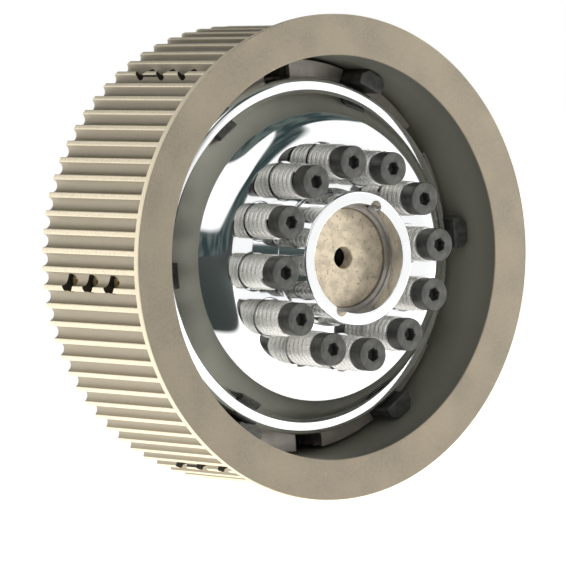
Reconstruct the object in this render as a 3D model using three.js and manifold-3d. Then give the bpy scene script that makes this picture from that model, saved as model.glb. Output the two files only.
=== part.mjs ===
// Dry multi-plate clutch in a wide toothed-belt drum, in millimetres.
// Each piece is drawn with the shaft along +Z and its back seating face at z = 0; the outer group
// turns the finished clutch so that its shaft lies along Y, its front faces -Y and +Z is up.

import * as THREE from "three";
import { mergeVertices } from "three/addons/utils/BufferGeometryUtils.js";
import Module from "manifold-3d";

const wasm = await Module();
wasm.setup();

// Fits and the two angular patterns, in degrees from +X; the drum can stand anywhere on the hub
const gap = 0.3; // clearance between neighbouring pieces
const hubPattern = 7.2; // first bolt
const drumPattern = 6.3; // first drive bar
const boltCount = 12;
const barCount = 6;

// Belt drum
const toothCount = 78;
const toothPitch = 8;
const pitchLineOffset = 0.686;
const tipRadius = (toothCount * toothPitch) / (2 * Math.PI) - pitchLineOffset;
const grooveRadius = 2.85; // round belt-tooth groove
const grooveCentreDepth = 0.6;
const toothPhase = 0.76; // pitches from a drive bar to the middle of the next groove
const drumWidth = 78;
const flangeRadius = 103.2;
const flangeThickness = 3.1;
const drumEdge = 0.6; // broken corners of the flange and bore
const boreRadius = 85.75;
const webThickness = 8.3;
const backRelief = { inner: 43, outer: 84, depth: 2 };
const bearingBoss = { radius: 38, height: 13.2, lip: 2.3 };
const screwRows = [18.3, 33.4, 49]; // heights of the radial screw holes
const screwHoleRadius = 4;
const ventCircle = 62;
const ventRadius = 9;
const ventAngle = 37.2;

// Main bearing, drum on hub
const bearing = { bottom: 2.7, top: 11.5, bore: 17.8, innerWall: 21.2, outerWall: 27.6, outside: 31 };
const ballCount = 9;
const circlip = { bottom: 1, thickness: 1.2, groove: 1.5, grooveBottom: 0.8, grooveDepth: 1.2 };

// Clutch pack
const frictionOuter = 84.2;
const frictionInner = 56;
const frictionThickness = 3.3;
const slotFloor = 76.5;
const slotWidth = 14.1;
const steelOuter = 75.5;
const steelThickness = 1.7;
const frictionCount = 5;
const packTop = 46.6; // front face of the first friction plate

// Drive bars
const barInner = 78.2;
const barOuter = 85.2;
const barWidth = 13.3;
const barTop = 60;
const barChamfer = 2.8; // on the corners next to the drum wall
const barEdge = 0.8; // on the corners next to the plates

// Hub
const hubBore = 12.5;
const splineTip = 54;
const splineRoot = 50;
const splineGroove = 13;
const splineAngle = hubPattern + 15; // grooves lie halfway between the bolts
const hubFlange = 6;
const barrelTop = 62;
const hubHollow = { radius: 33, floor: 32 }; // room for the shaft nut
const hubBoss = { radius: 20, height: 14 };
const keyway = { width: 6, depth: 3 };
const boltCircle = 41;

// Pressure plate
const plateFlat = 74; // flat ring inside the dome
const pocketRadius = 8.3; // counterbore that a spring stands in
const pocketFloor = 71;
const lipHeight = 57.4;
const lipInner = 71.2;
const lipOuter = 76.5;
const lipRounding = 3.5;
const plateBack = 46.9;
const bossRadius = 28.4;
const bossBore = 23.2;
const bossTop = 93.1;
const notch = { radius: 2.8, circle: 23.3, angle: 67.2 };
const ringGroove = { bottom: 82, top: 84.1, depth: 1.6 };
const discTop = 82.5;
const discHole = 4.8;
const discPad = 20.9; // raised middle of the release disc

// Shoulder bolts and springs
const headBottom = 89.2;
const headHeight = 7.2;
const headRadius = 7;
const headEdge = 0.7;
const socketDepth = 4;
const shoulderRadius = 4.2;
const threadRadius = 3.6;
const threadLength = 15;
const hexAcrossFlats = 5;
const wireRadius = 1.15;
const springRadius = 6.4; // to the middle of the wire
const springTurns = 5;

const finishes = {
  hardAnodised: { color: 0xa59b8c, roughness: 0.6, metalness: 0.7 },
  blackSteel: { color: 0x24262a, roughness: 0.45, metalness: 0.6 },
  polishedAlloy: { color: 0xe4e6ea, roughness: 0.08, metalness: 1 },
  springSteel: { color: 0xc9cac8, roughness: 0.25, metalness: 1 },
  turnedAlloy: { color: 0xb4b6b8, roughness: 0.4, metalness: 0.9 },
  blastedSteel: { color: 0xb5a58d, roughness: 0.7, metalness: 0.6 },
  groundSteel: { color: 0x9a9da1, roughness: 0.35, metalness: 0.9 },
  frictionPlate: { color: 0x6f675c, roughness: 0.8, metalness: 0.3 },
  bearingSteel: { color: 0xbfc3c8, roughness: 0.2, metalness: 1 },
};

const radians = THREE.MathUtils.degToRad;
const onCircle = (radius, angle) => new THREE.Vector2(radius * Math.cos(angle), radius * Math.sin(angle));

// A closed solid from a three.js geometry, turned outside out if its faces look inwards
function solid(geometry) {
  const bare = geometry.index ? geometry.clone() : geometry;
  for (const name of ["normal", "uv"]) bare.deleteAttribute(name);
  const merged = mergeVertices(bare, 1e-4);
  const vertProperties = Float32Array.from(merged.attributes.position.array);
  const triVerts = withoutSlivers(merged.index.array);
  if (signedVolume(vertProperties, triVerts) < 0) triVerts.reverse();
  return new wasm.Manifold(new wasm.Mesh({ numProp: 3, vertProperties, triVerts }));
}

// Triangles that lost a side when their vertices were merged are dropped
function withoutSlivers(triVerts) {
  const kept = [];
  for (let i = 0; i < triVerts.length; i += 3) {
    const [a, b, c] = triVerts.slice(i, i + 3);
    if (a !== b && b !== c && c !== a) kept.push(a, b, c);
  }
  return Uint32Array.from(kept);
}

function signedVolume(positions, triangles) {
  const corner = (k) => new THREE.Vector3().fromArray(positions, 3 * triangles[k]);
  let volume = 0;
  for (let i = 0; i < triangles.length; i += 3) {
    volume += corner(i).dot(corner(i + 1).cross(corner(i + 2))) / 6;
  }
  return volume;
}

function toGeometry(manifold) {
  const mesh = manifold.getMesh();
  const geometry = new THREE.BufferGeometry();
  geometry.setAttribute("position", new THREE.BufferAttribute(Float32Array.from(mesh.vertProperties), 3));
  geometry.setIndex(Array.from(mesh.triVerts));
  geometry.computeVertexNormals();
  return geometry;
}

// A closed profile of [radius, height] pairs turned about the shaft
function turned(profile, segments) {
  const points = [...profile, profile[0]].map(([radius, height]) => new THREE.Vector2(radius, height));
  return solid(new THREE.LatheGeometry(points, segments).rotateX(Math.PI / 2));
}

// A flat outline, with optional round or shaped openings, raised along the shaft
function raised(outline, bottom, top, openings = []) {
  const shape = new THREE.Shape(outline);
  shape.holes = openings.map((opening) => new THREE.Path(opening));
  const geometry = new THREE.ExtrudeGeometry(shape, { depth: top - bottom, bevelEnabled: false });
  return solid(geometry.translate(0, 0, bottom));
}

const round = (radius, segments, centre = new THREE.Vector2()) =>
  Array.from({ length: segments }, (_, i) => onCircle(radius, (2 * Math.PI * i) / segments).add(centre));

const ring = (inner, outer, bottom, top, segments) =>
  turned([[inner, bottom], [outer, bottom], [outer, top], [inner, top]], segments);

// The angle of copy i of a pattern that starts at the given degrees, in radians
const patternStep = (i, count, start) => radians(start + (360 / count) * i);

// Removes copies of a tool from a body, spread evenly round the shaft
function cutRound(body, tool, count, start) {
  let result = body;
  for (let i = 0; i < count; i += 1) {
    result = result.subtract(tool.rotate([0, 0, start + (360 / count) * i]));
  }
  return result;
}

// A box that starts at one radius and reaches another, centred on the +X ray
function radialBox(inner, outer, width, bottom, top) {
  const box = new THREE.BoxGeometry(outer - inner, width, top - bottom);
  return solid(box.translate((inner + outer) / 2, 0, (bottom + top) / 2));
}

function radialDrill(radius, inner, outer, height) {
  const drill = new THREE.CylinderGeometry(radius, radius, outer - inner, 8);
  return solid(drill.rotateZ(Math.PI / 2).translate((inner + outer) / 2, 0, height));
}

const axialDrill = (radius, bottom, top, circle, segments) =>
  raised(round(radius, segments, new THREE.Vector2(circle, 0)), bottom, top);

// Round-bottomed belt grooves with narrow lands between them
function toothOutline() {
  const points = [];
  const half = Math.acos(-grooveCentreDepth / grooveRadius);
  const centreRadius = tipRadius - grooveCentreDepth;
  for (let tooth = 0; tooth < toothCount; tooth += 1) {
    const angle = patternStep(tooth + toothPhase, toothCount, drumPattern);
    for (let step = 0; step <= 3; step += 1) {
      const swing = half * ((2 * step) / 3 - 1);
      const inward = centreRadius - grooveRadius * Math.cos(swing);
      const across = grooveRadius * Math.sin(swing);
      points.push(new THREE.Vector2(inward, across).rotateAround(new THREE.Vector2(), angle));
    }
  }
  return points;
}

function drumFlange() {
  const back = drumWidth - flangeThickness;
  return turned([
    [0, back],
    [flangeRadius - drumEdge, back],
    [flangeRadius, back + drumEdge],
    [flangeRadius, drumWidth - drumEdge],
    [flangeRadius - drumEdge, drumWidth],
    [0, drumWidth],
  ], 60);
}

// The space inside the drum: bearing seat, circlip groove, boss and bore
function drumInside() {
  const seat = bearing.outside + gap;
  const grooveTop = circlip.grooveBottom + circlip.groove;
  const lipBottom = bearing.top + gap;
  return turned([
    [0, -1],
    [seat, -1],
    [seat, circlip.grooveBottom],
    [seat + circlip.grooveDepth, circlip.grooveBottom],
    [seat + circlip.grooveDepth, grooveTop],
    [seat, grooveTop],
    [seat, lipBottom],
    [seat - bearingBoss.lip, lipBottom],
    [seat - bearingBoss.lip, bearingBoss.height],
    [bearingBoss.radius, bearingBoss.height],
    [bearingBoss.radius, webThickness],
    [boreRadius, webThickness],
    [boreRadius, drumWidth - drumEdge],
    [boreRadius + 2 * drumEdge, drumWidth + drumEdge],
    [0, drumWidth + drumEdge],
  ], 48);
}

function beltDrum() {
  const rim = raised(toothOutline(), 0, drumWidth - flangeThickness + 0.5);
  const relief = ring(backRelief.inner, backRelief.outer, -1, backRelief.depth, 36);
  let drum = rim.add(drumFlange()).subtract(drumInside()).subtract(relief);
  const vent = axialDrill(ventRadius, -1, webThickness + 1, ventCircle, 12);
  drum = cutRound(drum, vent, barCount, ventAngle);
  for (const height of screwRows) {
    const screwHole = radialDrill(screwHoleRadius, boreRadius - 4, tipRadius + 4, height);
    drum = cutRound(drum, screwHole, barCount, drumPattern);
  }
  return drum;
}

// A bar that carries torque from the drum to the friction plates
function driveBar() {
  const side = barWidth / 2;
  const outline = [
    [barInner, barEdge - side],
    [barInner + barEdge, -side],
    [barOuter - barChamfer, -side],
    [barOuter, barChamfer - side],
    [barOuter, side - barChamfer],
    [barOuter - barChamfer, side],
    [barInner + barEdge, side],
    [barInner, side - barEdge],
  ];
  const corners = outline.map(([x, y]) => new THREE.Vector2(x, y));
  return raised(corners, webThickness + gap, barTop);
}

// Outer tabs with a parallel-sided slot between each two
function frictionPlate(top) {
  const outline = [];
  const mouth = Math.asin(slotWidth / 2 / frictionOuter);
  const floor = Math.asin(slotWidth / 2 / slotFloor);
  for (let i = 0; i < boltCount; i += 1) {
    const centre = patternStep(i, boltCount, drumPattern);
    const next = patternStep(i + 1, boltCount, drumPattern);
    outline.push(onCircle(slotFloor, centre - floor), onCircle(slotFloor, centre + floor));
    outline.push(onCircle(frictionOuter, centre + mouth));
    outline.push(onCircle(frictionOuter, (centre + next) / 2));
    outline.push(onCircle(frictionOuter, next - mouth));
  }
  return raised(outline, top - frictionThickness, top, [round(frictionInner, 30)]);
}

// Inner tangs that sit in the hub's grooves
function steelPlate(top) {
  const opening = [];
  const tangRadius = splineRoot + 0.4;
  const clearRadius = splineTip + 0.6;
  const side = splineGroove / 2 - 0.4;
  for (let i = 0; i < boltCount; i += 1) {
    const centre = patternStep(i, boltCount, splineAngle);
    const inner = Math.asin(side / tangRadius);
    const outer = Math.asin(side / clearRadius);
    opening.push(onCircle(clearRadius, centre - outer), onCircle(tangRadius, centre - inner));
    opening.push(onCircle(tangRadius, centre + inner), onCircle(clearRadius, centre + outer));
    opening.push(onCircle(clearRadius, centre + radians(15)));
  }
  return raised(round(steelOuter, 36), top - steelThickness, top, [opening]);
}

function innerHub(packBottom) {
  const spigot = bearing.bore - gap;
  const spigotGroove = spigot - circlip.grooveDepth;
  const grooveTop = circlip.grooveBottom + circlip.groove;
  const raceStop = bearing.innerWall - gap;
  const flangeTop = packBottom - gap;
  const flangeBottom = flangeTop - hubFlange;
  const bossFront = hubHollow.floor + hubBoss.height;
  let hub = turned([
    [hubBore, 0],
    [spigot, 0],
    [spigot, circlip.grooveBottom],
    [spigotGroove, circlip.grooveBottom],
    [spigotGroove, grooveTop],
    [spigot, grooveTop],
    [spigot, bearing.top + gap],
    [raceStop, bearing.top + gap],
    [raceStop, flangeBottom],
    [steelOuter, flangeBottom],
    [steelOuter, flangeTop],
    [splineTip, flangeTop],
    [splineTip, barrelTop],
    [hubHollow.radius, barrelTop],
    [hubHollow.radius, hubHollow.floor],
    [hubBoss.radius, hubHollow.floor],
    [hubBoss.radius, bossFront],
    [hubBore, bossFront],
  ], 32);
  const groove = radialBox(splineRoot, splineTip + 2, splineGroove, flangeTop, barrelTop + 1);
  hub = cutRound(hub, groove, boltCount, splineAngle);
  const holeBottom = barrelTop - threadLength - 2;
  const threadHole = axialDrill(threadRadius + gap, holeBottom, barrelTop + 1, boltCircle, 8);
  hub = cutRound(hub, threadHole, boltCount, hubPattern);
  const key = radialBox(0, hubBore + keyway.depth, keyway.width, -1, bossFront + 1);
  return hub.subtract(key.rotate([0, 0, 90]));
}

// The dome from the spring face out to the flat lip, as [radius, height] pairs
function domeProfile() {
  const flatRadius = 50;
  const reach = lipInner - flatRadius;
  const drop = plateFlat - lipHeight;
  const steps = 5;
  return Array.from({ length: steps + 1 }, (_, i) => {
    const along = (i / steps) * (Math.PI / 2);
    return [flatRadius + reach * Math.sin(along) ** 0.92, lipHeight + drop * Math.cos(along) ** 1.05];
  });
}

function plateProfile() {
  const discSeat = discTop - 6.8;
  const underside = plateFlat - 6;
  const corner = lipRounding * (1 - Math.SQRT1_2);
  return [
    [20, underside],
    [20, discSeat],
    [bossBore, discSeat],
    [bossBore, ringGroove.bottom],
    [bossBore + ringGroove.depth, ringGroove.bottom],
    [bossBore + ringGroove.depth, ringGroove.top],
    [bossBore, ringGroove.top],
    [bossBore, bossTop],
    [bossRadius, bossTop],
    [bossRadius, plateFlat],
    ...domeProfile(),
    [lipOuter - lipRounding, lipHeight],
    [lipOuter - corner, lipHeight - corner],
    [lipOuter, lipHeight - lipRounding],
    [lipOuter, plateBack],
    [62, plateBack],
    [57, underside],
  ];
}

function pressurePlate() {
  const clearance = axialDrill(shoulderRadius + 0.8, plateFlat - 7, plateFlat, boltCircle, 10);
  const pocket = axialDrill(pocketRadius, pocketFloor, plateFlat + 1, boltCircle, 14);
  const notchOutline = round(notch.radius, 8, new THREE.Vector2(notch.circle, 0));
  const plate = cutRound(turned(plateProfile(), 40), clearance.add(pocket), boltCount, hubPattern);
  return cutRound(plate, raised(notchOutline, ringGroove.top, bossTop + 1), 2, notch.angle);
}

function releaseDisc() {
  const bottom = discTop - 6.5;
  const rimTop = discTop - 0.5;
  return turned([
    [discHole, bottom],
    [bossBore - gap, bottom],
    [bossBore - gap, rimTop],
    [discPad, rimTop],
    [discPad, discTop],
    [discHole, discTop],
  ], 32);
}

// An open ring that snaps into a groove; the opening faces the given angle
function snapRing(inner, outer, bottom, thickness, openAngle) {
  const opening = radians(24);
  const steps = 20;
  const angles = Array.from({ length: steps + 1 }, (_, i) => {
    return radians(openAngle) + opening / 2 + ((2 * Math.PI - opening) * i) / steps;
  });
  const outside = angles.map((angle) => onCircle(outer, angle));
  const inside = angles.map((angle) => onCircle(inner, angle)).reverse();
  return raised([...outside, ...inside], bottom, bottom + thickness);
}

function ballCage() {
  const middle = (bearing.innerWall + bearing.outerWall) / 2;
  const height = (bearing.bottom + bearing.top) / 2;
  let cage = ring(middle - 0.9, middle + 0.9, height - 1.6, height + 1.6, 27);
  const ball = solid(new THREE.SphereGeometry(2.7, 6, 4).translate(middle, 0, height));
  for (let i = 0; i < ballCount; i += 1) cage = cage.add(ball.rotate([0, 0, (360 / ballCount) * i]));
  return cage;
}

function shoulderBolt() {
  const top = headBottom + headHeight;
  const threadBottom = barrelTop - threadLength;
  const shoulderBottom = barrelTop + gap;
  const body = turned([
    [0, threadBottom],
    [threadRadius, threadBottom],
    [threadRadius, shoulderBottom],
    [shoulderRadius, shoulderBottom],
    [shoulderRadius, headBottom],
    [headRadius, headBottom],
    [headRadius, top - headEdge],
    [headRadius - headEdge, top],
    [0, top],
  ], 12);
  const socket = raised(round(hexAcrossFlats / Math.sqrt(3), 6), top - socketDepth, top + 1);
  return body.subtract(socket);
}

// The helix that a spring's wire follows
class SpringCurve extends THREE.Curve {
  getPoint(t, target = new THREE.Vector3()) {
    const low = pocketFloor + gap + wireRadius;
    const high = headBottom - gap - wireRadius;
    const angle = 2 * Math.PI * springTurns * t;
    const flat = onCircle(springRadius, angle);
    return target.set(flat.x, flat.y, low + (high - low) * t);
  }
}

function spring() {
  const wire = new THREE.Shape(round(wireRadius, 5));
  const path = new SpringCurve();
  return solid(new THREE.ExtrudeGeometry(wire, {
    steps: springTurns * 8,
    extrudePath: path,
    bevelEnabled: false,
  }));
}

const clutch = new THREE.Group();
const assembly = new THREE.Group();
assembly.rotation.x = Math.PI / 2;
clutch.add(assembly);

// Adds one named piece; radius and angle place it round the shaft
function place(name, body, finish, radius = 0, angle = 0) {
  const material = new THREE.MeshStandardMaterial(finishes[finish]);
  const mesh = new THREE.Mesh(toGeometry(body), material);
  mesh.name = name;
  mesh.rotation.z = angle;
  mesh.position.set(radius * Math.cos(angle), radius * Math.sin(angle), 0);
  assembly.add(mesh);
}

function placeBoltsAndSprings() {
  for (let i = 0; i < boltCount; i += 1) {
    const angle = patternStep(i, boltCount, hubPattern);
    place(`shoulder_bolt_${i + 1}`, shoulderBolt(), "blackSteel", boltCircle, angle);
    place(`clutch_spring_${i + 1}`, spring(), "springSteel", boltCircle, angle);
  }
}

// Friction and steel plates alternate; returns the height of the pack's back face
function placeClutchPack() {
  let top = packTop;
  for (let i = 1; i <= frictionCount; i += 1) {
    place(`friction_plate_${i}`, frictionPlate(top), "frictionPlate");
    top -= frictionThickness;
    if (i === frictionCount) break;
    place(`steel_plate_${i}`, steelPlate(top - gap), "groundSteel");
    top -= steelThickness + 2 * gap;
  }
  return top;
}

function placeBearing() {
  const { bottom, top, bore, innerWall, outerWall, outside } = bearing;
  const spigot = bore - gap;
  const seat = outside + gap;
  place("bearing_inner_race", ring(bore, innerWall, bottom, top, 32), "bearingSteel");
  place("bearing_outer_race", ring(outerWall, outside, bottom, top, 32), "bearingSteel");
  place("bearing_ball_cage", ballCage(), "bearingSteel");
  const hubClip = snapRing(spigot - 0.8, spigot + 1.9, circlip.bottom, circlip.thickness, 90);
  const drumClip = snapRing(seat - 2.6, seat + 0.8, circlip.bottom, circlip.thickness, 270);
  place("hub_circlip", hubClip, "blackSteel");
  place("drum_circlip", drumClip, "blackSteel");
}

place("belt_drum", beltDrum(), "hardAnodised");
for (let i = 0; i < barCount; i += 1) {
  place(`drive_bar_${i + 1}`, driveBar(), "blackSteel", 0, patternStep(i, barCount, drumPattern));
}
const packBottom = placeClutchPack();
place("inner_hub", innerHub(packBottom), "turnedAlloy");
placeBearing();
place("pressure_plate", pressurePlate(), "polishedAlloy");
place("release_disc", releaseDisc(), "blastedSteel");
const discRing = snapRing(discPad + gap, bossBore + 1.2, discTop - 0.2, 1.5, 157);
place("release_snap_ring", discRing, "groundSteel");
placeBoltsAndSprings();

export default clutch;
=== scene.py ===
import math

import bmesh
import bpy
from mathutils import Matrix, Vector


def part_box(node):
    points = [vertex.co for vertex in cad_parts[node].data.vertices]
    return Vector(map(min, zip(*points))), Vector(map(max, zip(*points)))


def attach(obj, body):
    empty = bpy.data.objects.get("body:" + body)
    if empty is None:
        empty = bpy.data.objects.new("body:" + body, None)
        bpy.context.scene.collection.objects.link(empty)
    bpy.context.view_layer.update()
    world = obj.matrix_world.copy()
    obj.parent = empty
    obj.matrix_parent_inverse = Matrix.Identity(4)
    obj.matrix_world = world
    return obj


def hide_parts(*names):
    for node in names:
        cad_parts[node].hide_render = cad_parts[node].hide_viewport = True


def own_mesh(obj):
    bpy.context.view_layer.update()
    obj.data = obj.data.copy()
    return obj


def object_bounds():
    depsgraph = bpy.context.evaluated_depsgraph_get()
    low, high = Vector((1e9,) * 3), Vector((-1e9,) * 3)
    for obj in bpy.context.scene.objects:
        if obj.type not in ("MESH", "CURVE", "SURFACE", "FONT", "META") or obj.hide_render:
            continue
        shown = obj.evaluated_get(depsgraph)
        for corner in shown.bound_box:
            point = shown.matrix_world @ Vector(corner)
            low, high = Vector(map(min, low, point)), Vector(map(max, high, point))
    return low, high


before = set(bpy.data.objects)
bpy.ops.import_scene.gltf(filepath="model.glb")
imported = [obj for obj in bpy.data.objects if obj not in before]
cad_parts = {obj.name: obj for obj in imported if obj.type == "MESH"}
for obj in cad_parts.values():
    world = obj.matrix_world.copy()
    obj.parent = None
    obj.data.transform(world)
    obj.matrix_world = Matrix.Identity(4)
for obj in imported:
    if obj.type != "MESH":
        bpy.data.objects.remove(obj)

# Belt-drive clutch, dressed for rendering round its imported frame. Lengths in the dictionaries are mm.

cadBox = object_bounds()
scene = bpy.context.scene
mm = 0.001
fullTurn = 2 * math.pi


def cadSpan(node):  # outer radius, back height and front height of a piece centred on the shaft
    low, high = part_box(node)
    return high.x / mm, -high.y / mm, -low.y / mm


def cadCentre(node):  # radius and angle of a piece that stands off the shaft
    low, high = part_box(node)
    middle = (low + high) / 2
    return math.hypot(middle.x, middle.z) / mm, math.atan2(middle.z, middle.x)


def countNodes(prefix):
    return sum(name.startswith(prefix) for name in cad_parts)


flangeRadius, drumBack, drumFront = cadSpan("belt_drum")
plateRadius, plateBack, bossTop = cadSpan("pressure_plate")
discRadius, discBack, discTop = cadSpan("release_disc")
hubRadius, hubBack, hubTop = cadSpan("inner_hub")
boltTop = cadSpan("shoulder_bolt_1")[2]
boltCount = countNodes("shoulder_bolt_")
barCount = countNodes("drive_bar_")
boltCircle, boltAngle = cadCentre("shoulder_bolt_1")
barAngle = cadCentre("drive_bar_1")[1]
print("frame: drum", round(2 * flangeRadius, 1), "mm across,", boltCount, "bolts,", barCount, "drive bars")


cameraView = {
    "azimuth": -36.56,  # degrees, to the left of the open front
    "elevation": 2.14,
    "distance": 2300,
    "lens": 345.1,
    "right": -23.0,  # offset of the aim from the middle of the flange
    "up": -10.83,
    "clipEnd": 20000,
}


def outwardFrom(azimuth, elevation):  # direction away from the shaft, in degrees from the open front
    turn, tilt = math.radians(azimuth), math.radians(elevation)
    return Vector((math.sin(turn) * math.cos(tilt), -math.cos(turn) * math.cos(tilt), math.sin(tilt)))


def addCamera(look):
    back = outwardFrom(look["azimuth"], look["elevation"])
    right = Vector((0, 0, 1)).cross(back).normalized()
    up = back.cross(right)
    lens = bpy.data.cameras.new("productLens")
    lens.lens = look["lens"]
    lens.clip_end = look["clipEnd"] * mm
    camera = bpy.data.objects.new("productCamera", lens)
    aim = Vector((0, -drumFront * mm, 0))
    offset = back * look["distance"] + right * look["right"] + up * look["up"]
    facing = Matrix((right, up, back)).transposed().to_4x4()
    camera.matrix_world = Matrix.Translation(aim + offset * mm) @ facing
    scene.collection.objects.link(camera)
    scene.camera = camera


addCamera(cameraView)
print("camera: placed", cameraView["distance"], "mm from the flange")


def newFinish(name):
    material = bpy.data.materials.new(name)
    material.use_nodes = True
    tree = material.node_tree
    shader = tree.nodes["Principled BSDF"]
    return material, tree, shader


def addNode(tree, kind, **settings):
    node = tree.nodes.new(kind)
    for key, value in settings.items():
        setattr(node, key, value)
    return node


def feed(tree, socket, value):  # a plain number or colour, or a link from another node
    if isinstance(value, tuple):
        socket.default_value = (*value, 1)
    elif isinstance(value, (int, float)):
        socket.default_value = value
    else:
        tree.links.new(value, socket)


def placeInMm(tree):  # object position, scaled so that 1 is a millimetre
    position = addNode(tree, "ShaderNodeTexCoord")
    scaled = addNode(tree, "ShaderNodeVectorMath", operation="SCALE")
    scaled.inputs["Scale"].default_value = 1 / mm
    tree.links.new(position.outputs["Object"], scaled.inputs[0])
    return scaled.outputs["Vector"]


def shaftRadius(tree, place):  # distance from the piece's own Y axis
    flatten = addNode(tree, "ShaderNodeVectorMath", operation="MULTIPLY")
    flatten.inputs[1].default_value = (1, 0, 1)
    length = addNode(tree, "ShaderNodeVectorMath", operation="LENGTH")
    tree.links.new(place, flatten.inputs[0])
    tree.links.new(flatten.outputs["Vector"], length.inputs[0])
    return length.outputs["Value"]


def noiseAt(tree, place, perMm, detail=3.0, stretch=(1, 1, 1)):
    noise = addNode(tree, "ShaderNodeTexNoise")
    noise.inputs["Scale"].default_value = perMm
    noise.inputs["Detail"].default_value = detail
    stretched = addNode(tree, "ShaderNodeVectorMath", operation="MULTIPLY")
    stretched.inputs[1].default_value = stretch
    tree.links.new(place, stretched.inputs[0])
    tree.links.new(stretched.outputs["Vector"], noise.inputs["Vector"])
    return noise.outputs["Fac"]


def ringsAt(tree, radius, perMm):  # lathe marks: noise that changes only with radius
    noise = addNode(tree, "ShaderNodeTexNoise", noise_dimensions="1D")
    noise.inputs["Scale"].default_value = perMm
    noise.inputs["Detail"].default_value = 4.0
    tree.links.new(radius, noise.inputs["W"])
    return noise.outputs["Fac"]


def remap(tree, value, fromLow, fromHigh, toLow, toHigh, smooth=False):
    node = addNode(tree, "ShaderNodeMapRange", interpolation_type="SMOOTHSTEP" if smooth else "LINEAR")
    for key, number in zip(("From Min", "From Max", "To Min", "To Max"), (fromLow, fromHigh, toLow, toHigh)):
        node.inputs[key].default_value = number
    tree.links.new(value, node.inputs["Value"])
    return node.outputs["Result"]


def blendColours(tree, factor, first, second, mode="MIX"):
    node = addNode(tree, "ShaderNodeMix", data_type="RGBA", blend_type=mode)
    for socket, value in ((node.inputs["Factor"], factor), (node.inputs[6], first), (node.inputs[7], second)):
        feed(tree, socket, value)
    return node.outputs[2]


def maths(tree, operation, *values):
    node = addNode(tree, "ShaderNodeMath", operation=operation)
    for socket, value in zip(node.inputs, values):
        feed(tree, socket, value)
    return node.outputs[0]


def multiply(tree, first, second):
    return maths(tree, "MULTIPLY", first, second)


def addBump(tree, shader, height, depth, strength=1.0):  # depth in mm
    bump = addNode(tree, "ShaderNodeBump")
    bump.inputs["Distance"].default_value = depth * mm
    bump.inputs["Strength"].default_value = strength
    tree.links.new(height, bump.inputs["Height"])
    tree.links.new(bump.outputs["Normal"], shader.inputs["Normal"])


noiseSpan = (0.3, 0.7)  # a noise value seldom leaves this range


def dressSurface(tree, shader, colour, metallic, wear, roughness, span=noiseSpan):
    tree.links.new(colour, shader.inputs["Base Color"])
    shader.inputs["Metallic"].default_value = metallic
    tree.links.new(remap(tree, wear, *span, *roughness), shader.inputs["Roughness"])


anodisedLook = {
    "body": (0.262, 0.221, 0.158),
    "blotch": (0.205, 0.175, 0.13),
    "fleck": (0.39, 0.34, 0.255),
    "land": (0.84, 0.74, 0.55),  # tooth tips and flange edge, lighter from belt wear and from a painted highlight of the side light
    # the toothed side is lighter than the face: painted light for the strong light from the left
    "groove": (0.37, 0.325, 0.245),
    "toothedZone": 6,  # how far below the tips the lighter groove colour, a painted light on the toothed side, reaches
    "rimWearAndSheen": 0.9,
    "wall": (0.15, 0.148, 0.12),  # inside of the drum near the mouth, darkened as painted shade
    # the deep wall colour is lighter: painted light against the shadow deep in the drum
    "paintedLightDeepWall": (0.40, 0.395, 0.33),
    "wallShadeFade": (-76, -48),  # where the painted shade of the mouth turns into the painted light of the deep wall
    "metallic": 0.3,
    "roughness": (0.46, 0.60),
    "cloudPerMm": 0.05,
    "gritPerMm": 0.9,
    "blastPerMm": 2.6,
    "blastDepth": 0.03,
}


def anodisedAlloy(look, drum):
    material, tree, shader = newFinish("hardAnodisedAlloy")
    place = placeInMm(tree)
    radius = shaftRadius(tree, place)
    split = addNode(tree, "ShaderNodeSeparateXYZ")
    tree.links.new(place, split.inputs[0])
    depth = split.outputs["Y"]
    tip, bore, flangeBack = drum["toothTip"], drum["bore"], drumFront - drum["flangeThickness"]
    web, toothFloor = drum["webTop"], drum["toothTip"] - look["toothedZone"]
    blast = noiseAt(tree, place, look["blastPerMm"], 2.0)
    cloud = noiseAt(tree, place, look["cloudPerMm"], 4.0)
    grit = noiseAt(tree, place, look["gritPerMm"], 5.0)
    mottled = blendColours(tree, remap(tree, cloud, 0.35, 0.65, 0, 1), look["body"], look["blotch"])
    speckled = blendColours(tree, remap(tree, grit, *noiseSpan, 0.0, 0.3), mottled, look["fleck"])
    # each area ends in a soft edge, a few tenths of a millimetre wide
    behindFlange = remap(tree, depth, -flangeBack + 0.1, -flangeBack + 0.3, 0, 1)
    # toothed side takes the lighter groove colour, a painted light
    onTeeth = multiply(tree, remap(tree, radius, toothFloor, toothFloor + 1, 0, 1), behindFlange)
    toothedSideLit = blendColours(tree, onTeeth, speckled, look["groove"])
    # tips and flange edge: belt wear together with a painted highlight
    onLand = multiply(tree, remap(tree, radius, tip - 0.5, tip - 0.2, 0, 1, True), behindFlange)
    rim = remap(tree, radius, flangeRadius - 0.35, flangeRadius - 0.15, 0, 1)
    rubbedAndLit = multiply(tree, onLand, remap(tree, grit, 0.3, 0.55, 0.7, 1.0))
    landed = blendColours(tree, rubbedAndLit, toothedSideLit, look["land"])
    worn = blendColours(tree, multiply(tree, rim, look["rimWearAndSheen"]), landed, look["land"])
    # inside the bore: painted shade near the mouth, painted light deeper in
    inBore = remap(tree, radius, bore + 0.15, bore + 0.05, 0, 1)
    aboveWeb = remap(tree, depth, -web + 0.6, -web - 0.4, 0, 1)
    paintedWallShade = blendColours(tree, remap(tree, depth, *look["wallShadeFade"], 0, 1), look["wall"], look["paintedLightDeepWall"])
    coloured = blendColours(tree, multiply(tree, inBore, aboveWeb), worn, paintedWallShade)
    dressSurface(tree, shader, coloured, look["metallic"], grit, look["roughness"])
    addBump(tree, shader, blast, look["blastDepth"], 0.8)
    return material


mirrorLook = {
    "colour": (0.93, 0.935, 0.94),
    "haze": (0.86, 0.87, 0.875),
    "hazePerMm": 0.12,
    "roughness": (0.035, 0.085),
    "ringsPerMm": 6.0,
    "polishDepth": 0.0006,
}


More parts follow.
